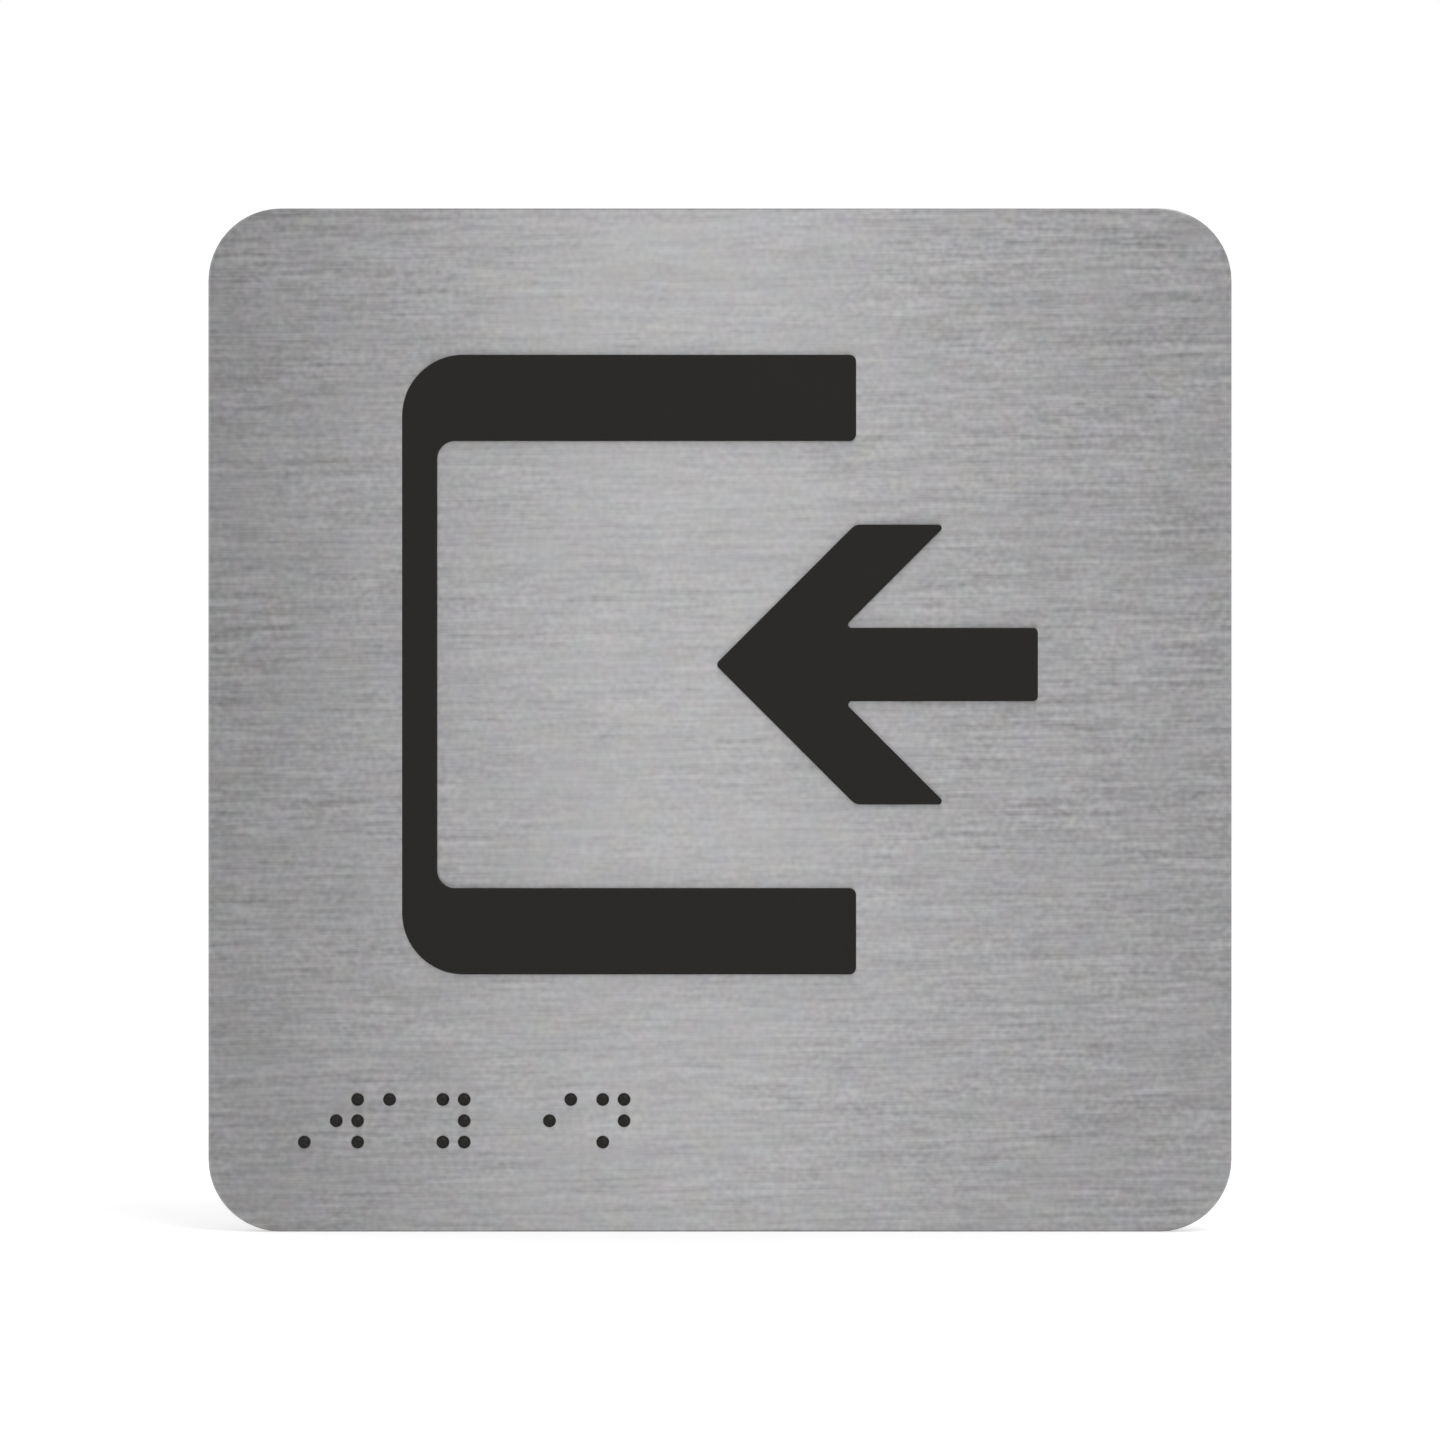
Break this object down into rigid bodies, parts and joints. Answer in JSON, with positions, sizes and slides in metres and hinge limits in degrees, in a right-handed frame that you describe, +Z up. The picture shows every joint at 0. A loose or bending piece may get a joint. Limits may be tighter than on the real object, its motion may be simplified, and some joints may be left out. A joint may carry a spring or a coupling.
{
  "type": "braille entrance sign",
  "caption": "Square wall sign of brushed metal with a raised doorway and arrow, a line of braille beads near its lower edge and strips of foam tape on its back.",
  "frame": {"origin": "middle of the sign on the wall plane, which is the bonding face of the centre strip of foam tape", "axes": "+Y out of the back and into the wall, so the front faces -Y; +Z up; +X to the right as seen from the front"},
  "size_m": [0.12, 0.004, 0.12],
  "materials": {
    "brushed_metal": "brushed along the sign's width",
    "charcoal_plastic": "fine matt",
    "charcoal_bead": "smooth satin",
    "foam_tape": "fine closed-cell foam"
  },
  "bodies": {
    "root": {"plate": "brushed_metal", "doorway_symbol": "charcoal_plastic", "arrow_symbol": "charcoal_plastic", "braille_cell1_dot6": "charcoal_bead", "braille_cell2_dot2": "charcoal_bead", "braille_cell2_dot4": "charcoal_bead", "braille_cell2_dot5": "charcoal_bead", "braille_cell2_dot6": "charcoal_bead", "braille_cell3_dot1": "charcoal_bead", "braille_cell4_dot1": "charcoal_bead", "braille_cell4_dot3": "charcoal_bead", "braille_cell4_dot4": "charcoal_bead", "braille_cell4_dot5": "charcoal_bead", "braille_cell4_dot6": "charcoal_bead", "braille_cell6_dot2": "charcoal_bead", "braille_cell6_dot4": "charcoal_bead", "braille_cell7_dot1": "charcoal_bead", "braille_cell7_dot3": "charcoal_bead", "braille_cell7_dot4": "charcoal_bead", "braille_cell7_dot5": "charcoal_bead", "tape_left": "foam_tape", "tape_centre": "foam_tape", "tape_right": "foam_tape"}
  },
  "joints": []
}
